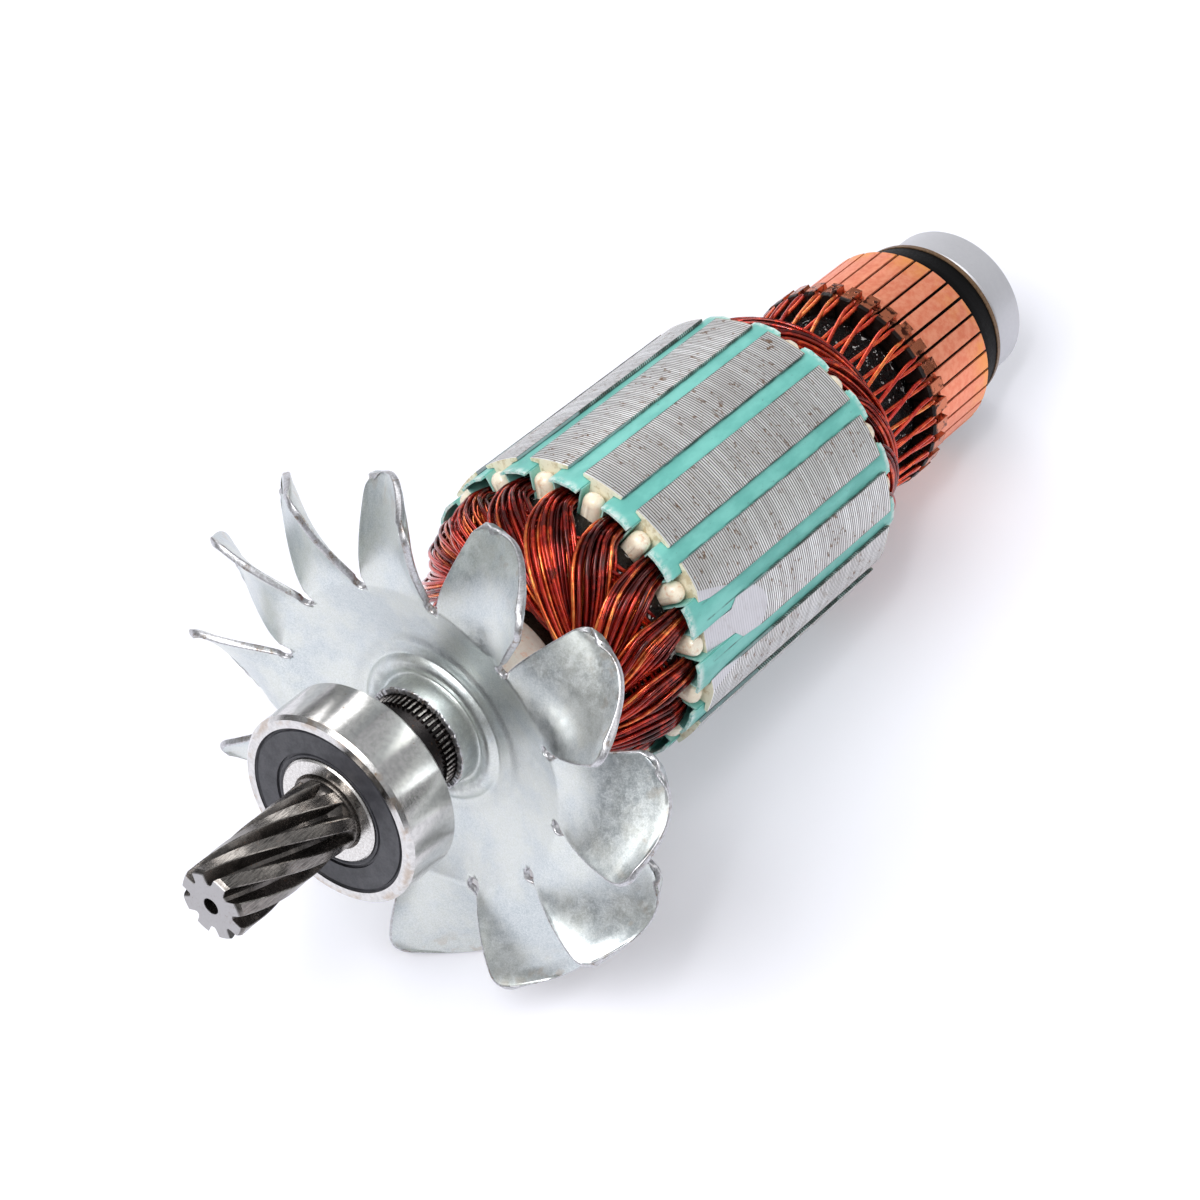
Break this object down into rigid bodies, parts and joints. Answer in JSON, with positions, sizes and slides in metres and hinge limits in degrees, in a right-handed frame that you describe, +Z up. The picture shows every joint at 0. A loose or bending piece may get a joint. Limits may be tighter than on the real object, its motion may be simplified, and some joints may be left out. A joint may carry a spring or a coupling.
{
  "type": "motor armature",
  "caption": "Armature of a brushed hand-tool motor: helical pinion shaft, twisted-blade fan, slotted core with winding, commutator and two ball bearings.",
  "frame": {"origin": "centre of the bounding box in X and Y, at the height of the surface that the part lies on", "axes": "+X runs along the part from the pinion to the commutator in plan, +Z is up; the shaft lies in the XZ plane, its commutator end lower by about 11 degrees"},
  "size_m": [0.195, 0.0866, 0.0855],
  "materials": {
    "shaft_steel": "oiled dark steel with brown rust specks",
    "ring_steel": "ground steel with brown specks",
    "bearing_steel": "ground and polished steel",
    "ball_steel": "polished steel",
    "cage_steel": "pressed steel",
    "seal_rubber": "satin charcoal rubber",
    "zinc_sheet": "mottled zinc-plated sheet with brown stains at the edges",
    "cream_insulation": "satin cream insulation",
    "lamination_steel": "fine lamination edges with brown flecks",
    "ivory_fibre": "ivory moulding with a soft shine",
    "liner_film": "turquoise insulating film",
    "wedge_fibre": "turquoise fibre strip with pale ragged edges",
    "enamel_wire": "red-brown enamelled copper wire under varnish",
    "lead_wire": "orange-red enamelled copper wire",
    "bar_copper": "turned copper with orange heat tint",
    "black_moulding": "black phenolic moulding",
    "brown_washer": "brown fibre"
  },
  "bodies": {
    "rotor": {"shaft": "shaft_steel", "front_inner_ring": "ring_steel", "fan": "zinc_sheet", "shaft_sleeve": "cream_insulation", "lamination_core": "lamination_steel", "front_end_insulator": "ivory_fibre", "rear_end_insulator": "ivory_fibre", "slot_liners": "liner_film", "slot_wedges": "wedge_fibre", "armature_winding": "enamel_wire", "commutator_leads": "lead_wire", "commutator_bars": "bar_copper", "commutator_body": "black_moulding", "rear_washer": "brown_washer", "rear_inner_ring": "ring_steel"},
    "front_outer": {"front_outer_ring": "bearing_steel", "front_bearing_outboard_seal": "seal_rubber", "front_bearing_inboard_seal": "seal_rubber"},
    "front_ball_cage": {"front_cage": "cage_steel", "front_balls_set": "ball_steel"},
    "rear_outer": {"rear_outer_ring": "bearing_steel", "rear_bearing_inboard_seal": "seal_rubber", "rear_bearing_outboard_seal": "seal_rubber"},
    "rear_ball_cage": {"rear_cage": "cage_steel", "rear_balls_set": "ball_steel"}
  },
  "joints": [
    {"name": "front_outer_spin", "type": "hinge", "parent": "rotor", "child": "front_outer", "pos_m": [-0.06742, 0, 0.04584], "axis": [0.9814, 0, -0.1918], "continuous": true},
    {"name": "front_cage_spin", "type": "hinge", "parent": "rotor", "child": "front_ball_cage", "pos_m": [-0.06742, 0, 0.04584], "axis": [0.9814, 0, -0.1918], "continuous": true},
    {"name": "rear_outer_spin", "type": "hinge", "parent": "rotor", "child": "rear_outer", "pos_m": [0.09098, 0, 0.01488], "axis": [0.9814, 0, -0.1918], "continuous": true},
    {"name": "rear_cage_spin", "type": "hinge", "parent": "rotor", "child": "rear_ball_cage", "pos_m": [0.09098, 0, 0.01488], "axis": [0.9814, 0, -0.1918], "continuous": true}
  ],
  "couplings": [
    {"joint": "front_cage_spin", "follows": "front_outer_spin", "ratio": 0.6318},
    {"joint": "rear_cage_spin", "follows": "rear_outer_spin", "ratio": 0.615}
  ]
}
